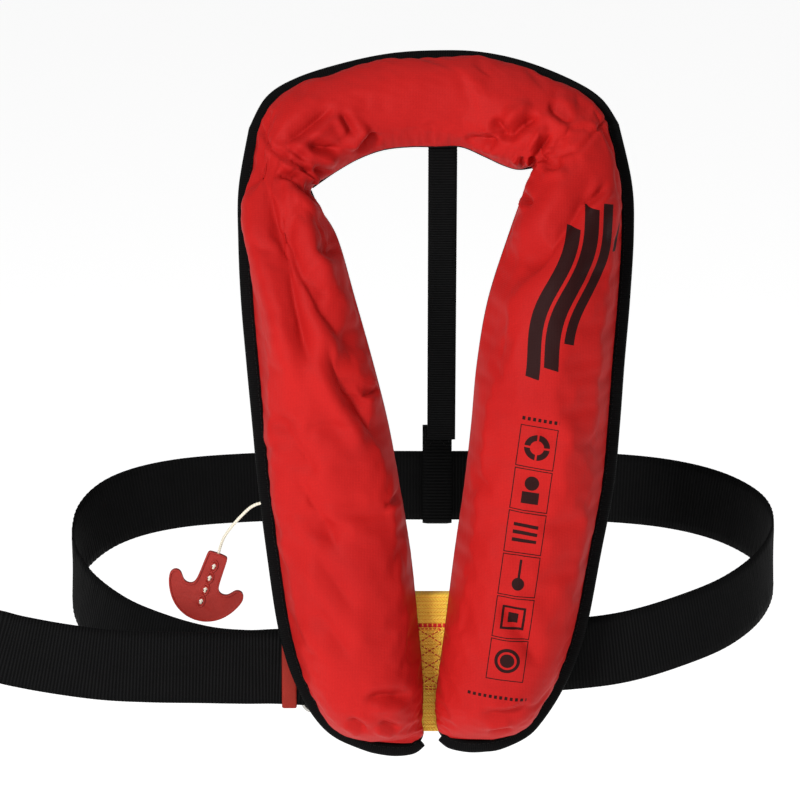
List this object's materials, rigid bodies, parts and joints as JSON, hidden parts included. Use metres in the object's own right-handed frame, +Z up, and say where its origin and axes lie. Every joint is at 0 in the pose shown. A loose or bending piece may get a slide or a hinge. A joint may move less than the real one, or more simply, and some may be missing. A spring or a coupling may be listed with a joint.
{
  "type": "inflatable life jacket",
  "caption": "Horseshoe-shaped inflatable life jacket with a padded collar and two front lobes, a waist belt, a back strap and a pull handle for its gas inflator.",
  "frame": {"origin": "the nape, at the middle of the collar's lower edge, where the jacket rests on the neck", "axes": "+Z up as worn, -Y the way the wearer faces, +X to the right of someone looking at the jacket's front"},
  "size_m": [0.5849, 0.2789, 0.4991],
  "materials": {
    "cover_fabric": "coated woven nylon, semi-matt",
    "black_webbing": "ribbed polyester webbing",
    "binding_tape": "folded woven tape",
    "lining": "coated lining cloth",
    "bladder_film": "coated nylon, folded",
    "yellow_webbing": "woven polyester webbing with red stitching",
    "black_plastic": "moulded",
    "red_plastic": "moulded, slightly soft",
    "yellow_plastic": "moulded",
    "orange_plastic": "moulded",
    "steel": "stainless",
    "gas_steel": "zinc plated",
    "rubber": "soft seal",
    "cartridge": "dissolving paper bobbin",
    "cord": "braided cord"
  },
  "bodies": {
    "jacket": {"cover_left": "cover_fabric", "cover_right": "cover_fabric", "cover_collar": "cover_fabric", "back_panel_left": "lining", "back_panel_right": "lining", "back_panel_collar": "lining", "binding_left": "binding_tape", "binding_right": "binding_tape", "binding_collar": "binding_tape", "closure_left": "lining", "closure_right": "lining", "bladder_left": "bladder_film", "bladder_right": "bladder_film", "bladder_collar": "bladder_film", "back_strap": "black_webbing", "back_strap_loop": "black_webbing", "belt": "black_webbing", "belt_tail": "black_webbing", "belt_guide_left": "black_webbing", "belt_guide_right": "black_webbing", "buckle_frame": "steel", "lifting_loop": "yellow_webbing", "inflator_body": "black_plastic", "manifold_stem": "black_plastic", "manifold_gasket": "rubber", "cap_nut": "black_plastic", "lever_pin": "steel", "sensor_cartridge": "cartridge", "oral_tube": "rubber", "valve_body": "black_plastic", "whistle_holder": "black_webbing"},
    "pull": {"pull_handle": "red_plastic", "pull_cord": "cord"},
    "lever": {"firing_lever": "red_plastic"},
    "pin": {"piercing_pin": "steel", "piercing_spring": "steel"},
    "gas_cylinder": {"gas_cylinder": "gas_steel"},
    "sensor_cap": {"sensor_cap": "yellow_plastic"},
    "dust_cap": {"dust_cap": "yellow_plastic"},
    "valve": {"valve_poppet": "red_plastic", "valve_spring": "steel"},
    "hook": {"buckle_hook": "steel"},
    "keeper": {"belt_keeper": "red_plastic"},
    "whistle": {"whistle": "orange_plastic", "whistle_lanyard": "cord"}
  },
  "joints": [
    {"name": "handle_pull", "type": "slide", "parent": "jacket", "child": "pull", "axis": [-0.3419, 0, -0.9397], "range_m": [0, 0.025], "deforming": ["pull_cord"]},
    {"name": "lever_turn", "type": "hinge", "parent": "jacket", "child": "lever", "pos_m": [-0.085, -0.089, -0.348], "axis": [0, -1, 0], "range_deg": [0, 15]},
    {"name": "pin_slide", "type": "slide", "parent": "jacket", "child": "pin", "axis": [0, 0, 1], "range_m": [0, 0.0045], "deforming": ["piercing_spring"]},
    {"name": "cylinder_unscrew", "type": "hinge", "parent": "jacket", "child": "gas_cylinder", "pos_m": [-0.062, -0.089, -0.3], "axis": [0, 0, 1], "continuous": true},
    {"name": "sensor_cap_unscrew", "type": "hinge", "parent": "jacket", "child": "sensor_cap", "pos_m": [-0.062, -0.089, -0.39], "axis": [0, 0, 1], "continuous": true},
    {"name": "dust_cap_pull", "type": "slide", "parent": "jacket", "child": "dust_cap", "axis": [0, 0, 1], "range_m": [0, 0.012]},
    {"name": "oral_valve_press", "type": "slide", "parent": "jacket", "child": "valve", "axis": [0, 0, -1], "range_m": [0, 0.003], "stiffness_N_per_m": 300, "deforming": ["valve_spring"]},
    {"name": "buckle_hook_turn", "type": "hinge", "parent": "jacket", "child": "hook", "pos_m": [-0.044, -0.05, -0.371], "axis": [0, 0, -1], "range_deg": [0, 25]},
    {"name": "keeper_slide", "type": "slide", "parent": "jacket", "child": "keeper", "axis": [-1, 0, 0], "range_m": [0, 0.018]},
    {"name": "whistle_draw", "type": "slide", "parent": "jacket", "child": "whistle", "axis": [0, 0, 1], "range_m": [0, 0.02], "deforming": ["whistle_lanyard"]}
  ],
  "couplings": [
    {"joint": "lever_turn", "follows": "handle_pull", "rad_per_m": 10.47},
    {"joint": "pin_slide", "follows": "handle_pull", "ratio": 0.18}
  ]
}
